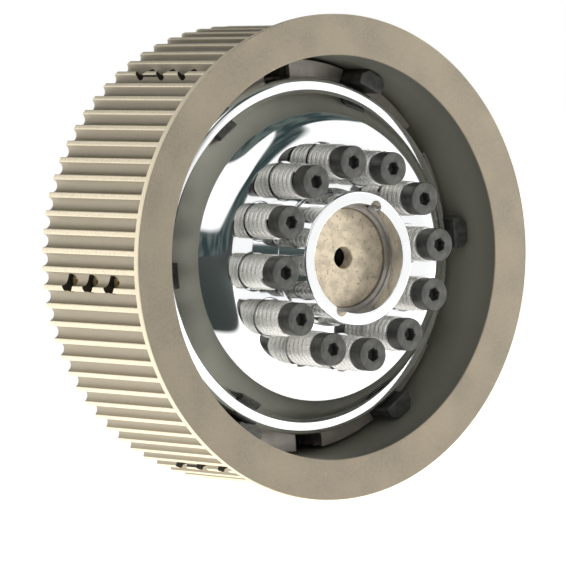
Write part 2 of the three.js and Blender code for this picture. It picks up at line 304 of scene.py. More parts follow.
def mirrorAlloy(look):
    material, tree, shader = newFinish("mirrorPolishedAlloy")
    place = placeInMm(tree)
    rings = ringsAt(tree, shaftRadius(tree, place), look["ringsPerMm"])
    haze = noiseAt(tree, place, look["hazePerMm"], 3.0)
    tint = blendColours(tree, remap(tree, haze, *noiseSpan, 0, 1), look["colour"], look["haze"])
    dressSurface(tree, shader, tint, 1.0, haze, look["roughness"], (0.3, 0.75))
    addBump(tree, shader, rings, look["polishDepth"], 0.6)
    return material


blackLook = {
    "colour": (0.06, 0.06, 0.054),
    "worn": (0.12, 0.118, 0.105),
    "metallic": 0.5,
    "roughness": (0.33, 0.5),
    "patchPerMm": 0.35,
    "grainPerMm": 4.0,
    "grainDepth": 0.01,
}


def blackOxide(look):
    material, tree, shader = newFinish("blackOxideSteel")
    place = placeInMm(tree)
    patch = noiseAt(tree, place, look["patchPerMm"], 4.0)
    grain = noiseAt(tree, place, look["grainPerMm"], 2.0)
    colour = blendColours(tree, remap(tree, patch, 0.4, 0.72, 0, 1), look["colour"], look["worn"])
    dressSurface(tree, shader, colour, look["metallic"], patch, look["roughness"])
    addBump(tree, shader, grain, look["grainDepth"], 0.6)
    return material


springLook = {
    "colour": (0.98, 0.965, 0.92),
    "shade": (0.84, 0.81, 0.73),
    "metallic": 0.42,
    "roughness": (0.24, 0.34),
    "drawPerMm": 0.9,
    "drawDepth": 0.003,
}


def brightSpringWire(look):
    material, tree, shader = newFinish("brightSpringWire")
    draw = noiseAt(tree, placeInMm(tree), look["drawPerMm"], 4.0, (1, 3.5, 1))
    colour = blendColours(tree, remap(tree, draw, 0.45, 0.75, 0, 0.7), look["colour"], look["shade"])
    dressSurface(tree, shader, colour, look["metallic"], draw, look["roughness"])
    addBump(tree, shader, draw, look["drawDepth"], 0.4)
    return material


blastedLook = {
    "colour": (0.62, 0.525, 0.385),
    "shade": (0.44, 0.375, 0.28),
    "speck": (0.17, 0.13, 0.085),
    "metallic": 0.3,
    "roughness": (0.42, 0.6),
    "cloudPerMm": 0.22,
    "pitPerMm": 0.75,
    "sandPerMm": 3.2,
    "sandDepth": 0.03,
}


def blastedSteel(look):
    material, tree, shader = newFinish("beadBlastedSteel")
    place = placeInMm(tree)
    cloud = noiseAt(tree, place, look["cloudPerMm"], 4.0)
    pit = noiseAt(tree, place, look["pitPerMm"], 2.0)
    sand = noiseAt(tree, place, look["sandPerMm"], 2.0)
    base = blendColours(tree, remap(tree, cloud, 0.42, 0.6, 0, 0.9), look["colour"], look["shade"])
    spotted = blendColours(tree, remap(tree, pit, 0.6, 0.7, 0, 0.7), base, look["speck"])
    dressSurface(tree, shader, spotted, look["metallic"], sand, look["roughness"])
    addBump(tree, shader, sand, look["sandDepth"], 0.7)
    return material


def machinedMetal(name, colour, roughness, metallic=0.95, marks=3.0, depth=0.004):
    material, tree, shader = newFinish(name)
    place = placeInMm(tree)
    rings = ringsAt(tree, shaftRadius(tree, place), marks)
    cloud = noiseAt(tree, place, 0.15, 4.0)
    darker = tuple(0.78 * part for part in colour)
    tinted = blendColours(tree, remap(tree, cloud, 0.35, 0.7, 0, 1), colour, darker)
    dressSurface(tree, shader, tinted, metallic, rings, (roughness - 0.06, roughness + 0.08))
    addBump(tree, shader, rings, depth, 0.7)
    return material


liningLook = {
    "colour": (0.10, 0.085, 0.07),
    "fleck": (0.42, 0.30, 0.15),
    "roughness": (0.75, 0.93),
    "fibrePerMm": 1.4,
    "fleckPerMm": 2.2,
    "fibreDepth": 0.06,
}


def frictionLining(look):
    material, tree, shader = newFinish("frictionLining")
    place = placeInMm(tree)
    fibre = noiseAt(tree, place, look["fibrePerMm"], 5.0)
    fleck = noiseAt(tree, place, look["fleckPerMm"], 1.0)
    colour = blendColours(tree, remap(tree, fleck, 0.66, 0.72, 0, 0.8), look["colour"], look["fleck"])
    dressSurface(tree, shader, colour, 0.0, fibre, look["roughness"])
    addBump(tree, shader, fibre, look["fibreDepth"], 0.8)
    return material


def spin(radius, height, angle):  # a point in the row frame; height runs from the back face to the front
    return Vector((radius * math.cos(angle), -height, radius * math.sin(angle))) * mm


def evenAngles(count, start=0.0):
    return [start + fullTurn * i / count for i in range(count)]


def soften(corners, steps=3):  # (radius, height, rounding) corners to a closed outline with rounded corners
    outline = []
    for i, (radius, height, size) in enumerate(corners):
        here = Vector((radius, height))
        before = Vector(corners[i - 1][:2]) - here
        after = Vector(corners[(i + 1) % len(corners)][:2]) - here
        if size == 0:
            outline.append((radius, height))
            continue
        start = here + before.normalized() * min(size, before.length * 0.45)
        end = here + after.normalized() * min(size, after.length * 0.45)
        for k in range(steps + 1):
            t = k / steps
            outline.append(tuple(start * (1 - t) ** 2 + here * (2 * t * (1 - t)) + end * t ** 2))
    return outline


def closeRings(rings):  # quads between rings of equal length; the last ring joins the first
    shape = bmesh.new()
    grid = [[shape.verts.new(corner) for corner in ring] for ring in rings]
    for near, far in zip(grid, grid[1:] + grid[:1]):
        for i in range(len(near)):
            j = (i + 1) % len(near)
            shape.faces.new((near[i], near[j], far[j], far[i]))
    bmesh.ops.remove_doubles(shape, verts=shape.verts, dist=1e-7)
    bmesh.ops.recalc_face_normals(shape, faces=shape.faces)
    return shape


def steadyAngles(outline):  # angles for a round ring that meets a slotted one without folding over
    angles = [angle for _, angle in outline]
    for i in range(len(outline)):
        j = (i + 1) % len(outline)
        ahead = (angles[j] - angles[i] + math.pi) % fullTurn - math.pi
        if ahead > 0:
            continue
        if outline[i][0] < outline[j][0]:
            angles[i] = angles[j] - 0.002
        else:
            angles[j] = angles[i] + 0.002
    return angles


def turned(outline, segments=96, start=0.0):
    angles = evenAngles(segments, start)
    return closeRings([[spin(radius, height, angle) for angle in angles] for radius, height in outline])


def prism(outline, low, high):  # a flat outline of (x, z) corners raised from one height to another
    shape = bmesh.new()
    floor = [shape.verts.new(Vector((x, -low, z)) * mm) for x, z in outline]
    roof = [shape.verts.new(Vector((x, -high, z)) * mm) for x, z in outline]
    for i in range(len(outline)):
        j = (i + 1) % len(outline)
        shape.faces.new((floor[i], floor[j], roof[j], roof[i]))
    shape.faces.new(floor)
    shape.faces.new(roof)
    bmesh.ops.recalc_face_normals(shape, faces=shape.faces)
    return shape


def toObject(name, shape):
    mesh = bpy.data.meshes.new(name)
    shape.to_mesh(mesh)
    shape.free()
    piece = bpy.data.objects.new(name, mesh)
    scene.collection.objects.link(piece)
    return piece


def joined(shapes):  # several closed bodies in one mesh, for cutting tools
    whole = bmesh.new()
    for shape in shapes:
        part = bpy.data.meshes.new("part")
        shape.to_mesh(part)
        shape.free()
        whole.from_mesh(part)
        bpy.data.meshes.remove(part)
    return whole


def cut(piece, tool, operation="DIFFERENCE"):
    cutter = toObject("cutter", tool)
    trim = piece.modifiers.new("cut", "BOOLEAN")
    trim.operation = operation
    trim.solver = "EXACT"
    trim.object = cutter
    bpy.context.view_layer.update()
    finished = bpy.data.meshes.new_from_object(piece.evaluated_get(bpy.context.evaluated_depsgraph_get()))
    finished.name = piece.name
    piece.modifiers.clear()
    piece.data = finished
    bpy.data.objects.remove(cutter)


def finishPiece(piece, material, body, cadNodes=(), sharpAngle=32, edge=0.0):
    piece.data.materials.clear()
    piece.data.materials.append(material)
    for face in piece.data.polygons:
        face.use_smooth = True
        face.material_index = 0
    piece.data.set_sharp_from_angle(angle=math.radians(sharpAngle))
    if edge:
        rounding = piece.modifiers.new("softEdges", "BEVEL")
        rounding.width = edge * mm
        rounding.segments = 3
        rounding.limit_method = "ANGLE"
        rounding.angle_limit = math.radians(sharpAngle)
        rounding.harden_normals = True
    else:
        evenShading = piece.modifiers.new("evenShading", "WEIGHTED_NORMAL")
        evenShading.keep_sharp = True
    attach(piece, body)
    if cadNodes:
        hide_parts(*cadNodes)
    return piece


def turnAbout(shape, angle, centre=(0, 0)):  # turns about a line along the shaft's direction, then moves
    bmesh.ops.rotate(shape, verts=shape.verts, cent=(0, 0, 0), matrix=Matrix.Rotation(-angle, 3, "Y"))
    bmesh.ops.translate(shape, verts=shape.verts, vec=Vector((centre[0], 0, centre[1])) * mm)
    return shape


def onCircle(radius, angle):
    return radius * math.cos(angle), radius * math.sin(angle)


def rod(radius, low, high, segments, centre):  # a plain round tool or ear
    return turnAbout(turned([(0, low), (radius, low), (radius, high), (0, high)], segments), 0, centre)


def band(inner, outer, low, high, rounding):  # outline of a flat ring with softened edges
    return soften([(radius, height, rounding) for radius, height in (
        (inner, low), (outer, low), (outer, high), (inner, high),
    )])


def groovedOutline(floor, tip, width, start, landSteps):  # (radius, angle) pairs, one groove to each bolt
    outline = []
    step = fullTurn / boltCount
    mouth = math.asin(width / 2 / tip)
    root = math.asin(width / 2 / floor)
    for middle in evenAngles(boltCount, start):
        for share in (-1, -0.5, 0, 0.5, 1):
            outline.append((floor, middle + share * root))
        for k in range(landSteps + 1):
            outline.append((tip, middle + mouth + (step - 2 * mouth) * k / landSteps))
    return outline


# Heights shared by the drum's and the hub's side of the bearing
bearingSeat = {"clipFrom": 0.8, "clipTo": 2.3, "clipDepth": 1.2, "raceTop": 11.8}


drumLook = {
    "teeth": 78,
    "toothTip": 98.63,
    "grooveRadius": 2.85,
    "grooveCentreDepth": 0.6,
    "landRounding": 0.35,
    "toothOffset": 0.76,  # of a pitch, from the first screw row to the middle of a groove
    "flangeThickness": 3.1,
    "bore": 85.75,
    "webTop": 8.3,
    "boss": 38,
    "bossRise": 4.9,
    "seat": 31.3,
    "stopLip": 2.3,
    "relief": (43, 84),  # hollow ring in the back face, from and to
    "reliefDepth": 2,
    "ventCircle": 62,
    "ventRadius": 9,
    "ventDrill": (-2, 12),
    "screwRows": (18.3, 33.4, 49.0),
    "screwHole": 4.0,
    "screwClearance": 2.2,
    "screwFloor": 89.0,
}


def toothOutline(look):  # (radius, angle) pairs round the drum
    outline = []
    centreRadius = look["toothTip"] - look["grooveCentreDepth"]
    half = math.acos(-look["grooveCentreDepth"] / look["grooveRadius"]) - 0.1
    pitch = fullTurn / look["teeth"]
    steps = 8
    for tooth in range(look["teeth"]):
        middle = barAngle + pitch * (tooth + look["toothOffset"])
        for step in range(steps + 1):
            swing = half * (2 * step / steps - 1)
            across = look["grooveRadius"] * math.sin(swing)
            inward = centreRadius - look["grooveRadius"] * math.cos(swing)
            outline.append((math.hypot(inward, across), middle + math.atan2(across, inward)))
        edge = math.asin((look["grooveRadius"] + look["landRounding"]) / look["toothTip"])
        for share in (0.0, 0.5, 1.0):
            outline.append((look["toothTip"], middle + edge + share * (pitch - 2 * edge)))
    return outline


def drumRings(look):
    outline = toothOutline(look)
    angles = [angle for _, angle in outline]

    def toothRing(height, inset):
        tip = look["toothTip"] - inset
        return [spin(min(radius, tip), height, angle) for radius, angle in outline]

    def roundRings(corners):
        return [[spin(radius, height, angle) for angle in angles] for radius, height in corners]

    back, web, seat, bore, boss = drumBack, look["webTop"], look["seat"], look["bore"], look["boss"]
    flangeBack = drumFront - look["flangeThickness"]
    bossHeight = web + look["bossRise"]
    stop = seat - look["stopLip"]
    clipFrom, clipTo = back + bearingSeat["clipFrom"], bearingSeat["clipTo"]
    clipFloor, raceTop = seat + bearingSeat["clipDepth"], bearingSeat["raceTop"]
    reliefFrom, reliefTo = look["relief"]
    reliefFloor = back + look["reliefDepth"]
    backFace = soften([
        (clipFloor, clipFrom, 0), (seat, clipFrom, 0), (seat, back, 0.3), (reliefFrom, back, 0.3),
        (reliefFrom, reliefFloor, 0.5), (reliefTo, reliefFloor, 0.5), (reliefTo, back, 0.3),
        (reliefTo + 0.1, back, 0),
    ])[1:-1]
    flangeAndBore = soften([
        (look["toothTip"], flangeBack, 0), (flangeRadius, flangeBack, 0.5), (flangeRadius, drumFront, 0.6),
        (bore, drumFront, 0.7), (bore, web, 1.6), (boss, web, 1.6), (boss, bossHeight, 0.4),
        (stop, bossHeight, 0.3), (stop, raceTop, 0), (seat, raceTop, 0), (seat, clipTo, 0),
        (clipFloor, clipTo, 0), (clipFloor, clipFrom, 0), (seat, clipFrom, 0),
    ])[1:-1]
    rings = roundRings(backFace)
    rings += [toothRing(back, 0.7), toothRing(back + 0.35, 0.2), toothRing(back + 0.7, 0)]
    rings += [toothRing(height, 0) for height in (back + 20, back + 40, back + 60, flangeBack)]
    rings += roundRings(flangeAndBore)
    return rings


def pointOutwards(shape, angle, height):  # lays a turned shape down, so that it points away from the shaft
    outward = Matrix(((0, -1, 0), (1, 0, 0), (0, 0, 1)))  # the shape's height becomes +X
    bmesh.ops.rotate(shape, verts=shape.verts, cent=(0, 0, 0), matrix=outward)
    bmesh.ops.translate(shape, verts=shape.verts, vec=(0, -height * mm, 0))
    return turnAbout(shape, angle)


def radialDrill(angle, height, sections):  # stepped drill; sections are (radius, from, to)
    outline = [(0, sections[0][1])]
    for radius, start, end in sections:
        outline += [(radius, start), (radius, end)]
    outline.append((0, sections[-1][2]))
    return pointOutwards(turned(outline, 24), angle, height)


def screwPlaces(look):
    return [(angle, height) for angle in evenAngles(barCount, barAngle) for height in look["screwRows"]]


def paintHoleShade(piece, look, holeShade):  # the walls of the screw holes take the second material, a near-black painted shade for the dark inside of the holes
    piece.data.materials.append(holeShade)
    step = fullTurn / barCount

    def onHoleWall(place):
        x, y, z = place / mm
        radius = math.hypot(x, z)
        aside = (math.atan2(z, x) - barAngle + step / 2) % step - step / 2
        off = min(math.hypot(radius * math.sin(aside), -y - row) for row in look["screwRows"])
        return radius > look["bore"] + 0.5 and abs(off - look["screwHole"]) < 0.15

    corners = [onHoleWall(vertex.co) for vertex in piece.data.vertices]
    for face in piece.data.polygons:
        outward = Vector((face.center.x, 0, face.center.z)).normalized()
        if abs(face.normal.dot(outward)) < 0.3 and all(corners[i] for i in face.vertices):
            face.material_index = 1


def beltDrum(look, material, holeShade):
    piece = toObject("beltDrum", closeRings(drumRings(look)))
    ventAngles = evenAngles(barCount, boltAngle + math.pi / barCount)
    vents = [rod(look["ventRadius"], *look["ventDrill"], 40, onCircle(look["ventCircle"], angle))
             for angle in ventAngles]
    cut(piece, joined(vents))
    clear, hole, floor = look["screwClearance"], look["screwHole"], look["screwFloor"]
    steps = [(clear, look["bore"] - 3, floor), (hole, floor, look["toothTip"] + 3)]
    cut(piece, joined([radialDrill(angle, height, steps) for angle, height in screwPlaces(look)]))
    finishPiece(piece, material, "drum", ["belt_drum"])
    paintHoleShade(piece, look, holeShade)


barLook = {"inner": 78.2, "outer": 85.2, "width": 13.3, "wallChamfer": 2.8, "innerChamfer": 0.8, "edge": 0.5}


def driveBar(index, angle, look, material):
    side = look["width"] / 2
    cornerIn, cornerOut = look["innerChamfer"], look["wallChamfer"]
    half = [
        (look["inner"], side - cornerIn), (look["inner"] + cornerIn, side),
        (look["outer"] - cornerOut, side), (look["outer"], side - cornerOut),
    ]
    outline = half + [(x, -z) for x, z in reversed(half)]
    low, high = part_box(f"drive_bar_{index}")
    shape = turnAbout(prism(outline, -high.y / mm, -low.y / mm), angle)
    piece = toObject(f"driveBar_{index}", shape)
    return finishPiece(piece, material, "drum", [f"drive_bar_{index}"], 20, look["edge"])


screwLook = {
    "shankEnd": 86.4,
    "shankRadius": 2.0,
    "headBottom": 89.6,
    "headTop": 93.2,
    "headRadius": 3.6,
    "socket": 1.25,
    "socketDepth": 1.8,
}


def barScrew(index, angle, height, look, material):
    shank, head, socket = look["shankRadius"], look["headRadius"], look["socket"]
    end, top, socketFloor = look["shankEnd"], look["headTop"], look["headTop"] - look["socketDepth"]
    outline = [
        (0, end), (shank, end), (shank, look["headBottom"]), (head, top - 1.0), (head, top - 0.2),
        (head - 0.2, top), (socket, top), (socket, socketFloor), (0, socketFloor),
    ]
    piece = toObject(f"barScrew_{index}", pointOutwards(turned(outline, 24), angle, height))
    return finishPiece(piece, material, "drum")


frictionLook = {
    "outer": 84.2,
    "inner": 56,
    "slotFloor": 76.5,
    "slotWidth": 14.1,
    "core": 2.3,
    "liningInner": 56.4,
    "liningOuter": 74.9,
    "edge": 0.25,
}


def frictionPlate(index, look, steel, lining):
    node = f"friction_plate_{index}"
    _, low, high = cadSpan(node)
    middle = (low + high) / 2
    outline = groovedOutline(look["slotFloor"], look["outer"], look["slotWidth"], barAngle, 8)
    sides = (middle - look["core"] / 2, middle + look["core"] / 2)
    angles = steadyAngles(outline)
    rings = [[spin(look["inner"], sides[0], angle) for angle in angles]]
    rings += [[spin(radius, height, angle) for radius, angle in outline] for height in sides]
    rings += [[spin(look["inner"], sides[1], angle) for angle in angles]]
    core = toObject(f"frictionPlate_{index}", closeRings(rings))
    finishPiece(core, steel, node, [node], 40, look["edge"])
    for side, start, end in (("Back", low, sides[0]), ("Front", sides[1], high)):
        outline = band(look["liningInner"], look["liningOuter"], start, end, 0.15)
        face = toObject(f"lining{side}_{index}", turned(outline, 96))
        finishPiece(face, lining, node)


hubLook = {
    "bore": 12.5,
    "spigot": 17.5,
    "shoulder": 20.9,
    "splineTip": 54,
    "splineRoot": 50,
    "groove": 13,
    "hollow": 33,
    "hollowFloor": 32,
    "nutSeat": 20,
    "nutSeatRise": 14,
    "keyWidth": 6,
    "keyDepth": 3,
    "flange": 6,
    "flangeGap": 0.3,  # between the hub's flange and the rearmost plate
    "boltHole": 3.6,
    "boltHoleDepth": 17,
}


def innerHub(look, material):
    flangeTop = -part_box("friction_plate_5")[1].y / mm - look["flangeGap"]
    flangeBottom = flangeTop - look["flange"]
    bore, spigot, shoulder, tip = look["bore"], look["spigot"], look["shoulder"], look["splineTip"]
    hollow, floor, nutSeat = look["hollow"], look["hollowFloor"], look["nutSeat"]
    seatTop = floor + look["nutSeatRise"]
    clipFrom, clipTo = bearingSeat["clipFrom"], bearingSeat["clipTo"]
    clipFloor, raceTop = spigot - bearingSeat["clipDepth"], bearingSeat["raceTop"]
    start = (bore, hubBack + 3, 0)
    outline = groovedOutline(look["splineRoot"], tip, look["groove"], boltAngle + fullTurn / boltCount / 2, 4)
    angles = steadyAngles(outline)
    back = soften([
        start, (bore, hubBack, 0.8), (spigot, hubBack, 0.4), (spigot, clipFrom, 0), (clipFloor, clipFrom, 0),
        (clipFloor, clipTo, 0), (spigot, clipTo, 0), (spigot, raceTop, 0), (shoulder, raceTop, 0.3),
        (shoulder, flangeBottom, 0.6), (hubRadius, flangeBottom, 0.5), (hubRadius, flangeTop, 0.5),
        (tip + 0.2, flangeTop, 0),
    ])
    front = soften([
        (tip, hubTop, 0), (hollow, hubTop, 0.5), (hollow, floor, 2), (nutSeat, floor, 1.5),
        (nutSeat, seatTop, 0.5), (bore, seatTop, 0.5), start,
    ])[1:-1]
    rings = [[spin(radius, height, angle) for angle in angles] for radius, height in back]
    for height in (flangeTop + 0.01, hubTop):
        rings.append([spin(radius, height, angle) for radius, angle in outline])
    rings += [[spin(radius, height, angle) for angle in angles] for radius, height in front]
    piece = toObject("innerHub", closeRings(rings))
    side, keyTop = look["keyWidth"] / 2, bore + look["keyDepth"]
    cut(piece, prism([(-side, 0), (side, 0), (side, keyTop), (-side, keyTop)], -1, seatTop + 2))
    holeFloor = hubTop - look["boltHoleDepth"]
    holes = [rod(look["boltHole"], holeFloor, hubTop + 1, 24, onCircle(boltCircle, angle))
             for angle in evenAngles(boltCount, boltAngle)]
    cut(piece, joined(holes))
    return finishPiece(piece, material, "hub", ["inner_hub"])


bearingLook = {
    "bore": 17.8,
    "innerWall": 21.2,
    "outerWall": 27.6,
    "outside": 31,
    "balls": 9,
    "ballRadius": 3.7,
    "clearance": 0.1,
    "trackHalf": 3.0,  # half the width of a ball track
    "cage": 1.1,
    "cageHalf": 4.2,
    "pocketGap": 0.15,
}


def bearingRace(name, node, wall, otherSide, look, material, body):
    _, low, high = cadSpan(node)
    middle = (low + high) / 2
    ballCircle = (look["innerWall"] + look["outerWall"]) / 2
    inwards = 1 if wall > ballCircle else -1
    grooveRadius = look["ballRadius"] + look["clearance"]
    track = []
    for k in range(13):
        height = look["trackHalf"] * (k / 6 - 1)
        depth = math.sqrt(grooveRadius ** 2 - height ** 2)
        radius = max(wall * inwards, (ballCircle + inwards * depth) * inwards) * inwards
        track.append((radius, middle + height, 0))
    corners = [(wall, low, 0.3)] + track + [(wall, high, 0.3), (otherSide, high, 0.6), (otherSide, low, 0.6)]
    piece = toObject(name, turned(soften(corners), 96))
    return finishPiece(piece, material, body, [node])


def ballSet(look, steel, brass):
    _, low, high = cadSpan("bearing_ball_cage")
    middle = (low + high) / 2
    circle = (look["innerWall"] + look["outerWall"]) / 2
    balls, pockets = [], []
    for angle in evenAngles(look["balls"]):
        for radius, group in ((look["ballRadius"], balls), (look["ballRadius"] + look["pocketGap"], pockets)):
            ball = bmesh.new()
            bmesh.ops.create_uvsphere(ball, u_segments=24, v_segments=16, radius=radius * mm)
            bmesh.ops.translate(ball, verts=ball.verts, vec=spin(circle, middle, angle))
            group.append(ball)
    wall, half = look["cage"], look["cageHalf"]
    outline = band(circle - wall, circle + wall, middle - half, middle + half, 0.2)
    cage = toObject("bearingCage", turned(outline, 120))
    cut(cage, joined(pockets))
    finishPiece(cage, brass, "ball_cage", ["bearing_ball_cage"])
    finishPiece(toObject("bearingBalls", joined(balls)), steel, "ball_cage")


def clipOutline(inner, outer, opening, openAngle, segments=64):
    angles = [openAngle + opening / 2 + (fullTurn - opening) * i / segments for i in range(segments + 1)]
    outside = [onCircle(outer, angle) for angle in angles]
    return outside + [onCircle(inner, angle) for angle in reversed(angles)]


clipLook = {
    "opening": 20,  # degrees
    "earRadius": 2.0,
    "earHole": 0.9,
    "earAside": 0.07,  # radians from the end of the ring
    "earOut": 0.6,
    "holeOut": 0.9,
    "edge": 0.12,
}


def circlip(name, node, inner, outer, openAngle, earSide, look, material, body):
    _, low, high = cadSpan(node)
    opening = math.radians(look["opening"])
    piece = toObject(name, prism(clipOutline(inner, outer, opening, openAngle), low, high))
    edge = inner if earSide < 0 else outer
    for side in (-1, 1):
        angle = openAngle + side * (opening / 2 + look["earAside"])
        earPlace = onCircle(edge + earSide * look["earOut"], angle)
        holePlace = onCircle(edge + earSide * look["holeOut"], angle)
        cut(piece, rod(look["earRadius"], low, high, 24, earPlace), "UNION")
        cut(piece, rod(look["earHole"], low - 1, high + 1, 20, holePlace))
    return finishPiece(piece, material, body, [node], 32, look["edge"])


plateLook = {
    "flat": 74,
    "flatRadius": 50,
    "lipInner": 71.2,
    "lipRounding": 3.6,
    "lipHeight": 57.4,
    "domePower": 2.6,
    "bossRadius": 28.4,
    "bore": 23.2,
    "discOpening": 20,
    "discSeat": 75.7,
    "ringGroove": (0.5, 1.6),  # below and above the disc's face
    "ringGrooveDepth": 1.6,
    "underside": 68,
    "rebate": (62, 57),
    "pocketRadius": 8.3,
    "pocketFloor": 71,
    "pocketChamfer": 0.6,
    "boltHole": 5.0,
    "notchRadius": 2.8,
    "notchCircle": 23.3,
    "notchAngle": 67.2,
}


def pressurePlate(look, material):
    flat, under, bore, boss = look["flat"], look["underside"], look["bore"], look["bossRadius"]
    drop = flat - look["lipHeight"]
    spread = look["lipInner"] - look["flatRadius"]
    steps = 36
    dome = []
    for k in range(steps + 1):
        height = flat - drop * (k / steps) ** look["domePower"]
        dome.append((look["flatRadius"] + spread * k / steps, height, 0))
    grooveLow, grooveHigh = discTop - look["ringGroove"][0], discTop + look["ringGroove"][1]
    grooveFloor = bore + look["ringGrooveDepth"]
    opening, seat = look["discOpening"], look["discSeat"]
    corners = [
        (opening, under, 0.4), (opening, seat, 0.3), (bore, seat, 0), (bore, grooveLow, 0.1),
        (grooveFloor, grooveLow, 0), (grooveFloor, grooveHigh, 0), (bore, grooveHigh, 0.1),
        (bore, bossTop, 0.35), (boss, bossTop, 0.7), (boss, flat, 1.2),
    ]
    corners += dome
    corners += [
        (plateRadius, look["lipHeight"], look["lipRounding"]), (plateRadius, plateBack, 0.6),
        (look["rebate"][0], plateBack, 0.8), (look["rebate"][1], under, 3),
    ]
    piece = toObject("pressurePlate", turned(soften(corners, 5), 240))
    stem, pocket, pocketFloor = look["boltHole"], look["pocketRadius"], look["pocketFloor"]
    chamfer = look["pocketChamfer"]
    hole = [
        (0, under - 2), (stem, under - 2), (stem, pocketFloor), (pocket, pocketFloor),
        (pocket, flat - chamfer / 2), (pocket + chamfer, flat + chamfer / 2), (pocket + chamfer, flat + 2),
        (0, flat + 2),
    ]
    tools = [turnAbout(turned(hole, 48), 0, onCircle(boltCircle, angle))
             for angle in evenAngles(boltCount, boltAngle)]
    cut(piece, joined(tools))
    notches = [rod(look["notchRadius"], grooveHigh, bossTop + 2, 32, onCircle(look["notchCircle"], angle))
               for angle in evenAngles(2, math.radians(look["notchAngle"]))]
    cut(piece, joined(notches))
    return finishPiece(piece, material, "pressure_plate", ["pressure_plate"], 28)


discLook = {
    "hole": 4.75,
    "threadDepth": 0.45,
    "threadPitch": 1.06,
    "threadInset": 0.3,  # from either face
    "countersink": 0.5,
    "pad": 20.9,
    "step": 0.5,
}


def releaseDisc(look, material):
    angles = evenAngles(96)

    def threadRadius(height, angle):
        phase = (height / look["threadPitch"] - angle / fullTurn) % 1
        return look["hole"] - look["threadDepth"] * (1 - abs(2 * phase - 1)) + look["threadDepth"] / 2

    mouth, pad, low = look["hole"] + look["countersink"], look["pad"], discTop - look["step"]
    face = soften([
        (mouth, discTop, 0), (pad, discTop, 0.25), (pad, low, 0), (discRadius, low, 0.3),
        (discRadius, discBack, 0.4), (mouth, discBack, 0),
    ])
    rings = [[spin(radius, height, angle) for angle in angles] for radius, height in face]
    inset = look["threadInset"]
    steps = 60
    for k in range(steps + 1):
        height = discBack + inset + (discTop - discBack - 2 * inset) * k / steps
        rings.append([spin(threadRadius(height, angle), height, angle) for angle in angles])
    piece = toObject("releaseDisc", closeRings(rings))
    return finishPiece(piece, material, "pressure_plate", ["release_disc"], 40)


snapRingLook = {"inner": 21.2, "outer": 24.4, "opening": 24, "openAngle": 157, "edge": 0.2}


def discSnapRing(look, material):
    node = "release_snap_ring"
    _, low, high = cadSpan(node)
    opening, openAngle = math.radians(look["opening"]), math.radians(look["openAngle"])
    outline = clipOutline(look["inner"], look["outer"], opening, openAngle, 96)
    piece = toObject("discSnapRing", prism(outline, low, high))
    return finishPiece(piece, material, "pressure_plate", [node], 32, look["edge"])


boltLook = {
    "headRadius": 7,
    "headHeight": 7.2,
    "rim": 0.65,
    "socketFlats": 5,
    "socketDepth": 4,
    "socketChamfer": 0.5,
    "shoulder": 4.2,
    "thread": 3.55,
    "threadLength": 15,
    "segments": 48,
    "turnStep": 0.37,  # radians between the sockets of neighbouring bolts
}


def boltShape(look):
    headBottom = boltTop - look["headHeight"]
    threadBottom, threadTop = hubTop - look["threadLength"], hubTop + 0.3
    head, shoulder, thread, flats = look["headRadius"], look["shoulder"], look["thread"], look["socketFlats"]
    angles = evenAngles(look["segments"])

    def hexRing(height, width):
        corner = math.pi / 3
        return [spin(width / 2 / math.cos(angle % corner - corner / 2), height, angle) for angle in angles]

    body = soften([
        (thread - 0.6, threadBottom, 0), (thread, threadBottom + 0.6, 0), (thread, threadTop, 0),
        (shoulder, threadTop, 0.2), (shoulder, headBottom, 0), (head, headBottom, 0.3),
        (head, boltTop, look["rim"]), (flats / 2 + 0.9, boltTop, 0),
    ])
    rings = [[spin(0, threadBottom, 0)] * look["segments"]]
    rings += [[spin(radius, height, angle) for angle in angles] for radius, height in body]
    floor = boltTop - look["socketDepth"]
    rings.append(hexRing(boltTop, flats + look["socketChamfer"]))
    rings += [hexRing(boltTop - 0.3, flats), hexRing(floor, flats)]
    rings += [[spin(0, floor - 0.8, 0)] * look["segments"]]
    return closeRings(rings)


def shoulderBolt(index, look, material):
    _, angle = cadCentre(f"shoulder_bolt_{index}")
    piece = toObject(f"shoulderBolt_{index}", turnAbout(boltShape(look), look["turnStep"] * index))
    piece.location = spin(boltCircle, 0, angle)
    bpy.context.view_layer.update()
    return finishPiece(piece, material, "hub", [f"shoulder_bolt_{index}"], 28)


springSet = {
    "wire": 1.15,
    "radius": 6.4,
    "turns": 5.7,
    "closedTurns": 0.75,
    "seat": 71.1,
    "top": 89.0,
    "lift": 2.0,
    "grind": 0.75,  # height of a ground end above its seat, in wire radii
    "start": 2.1,  # radians
    "sides": 12,
    "stepsPerTurn": 40,
}


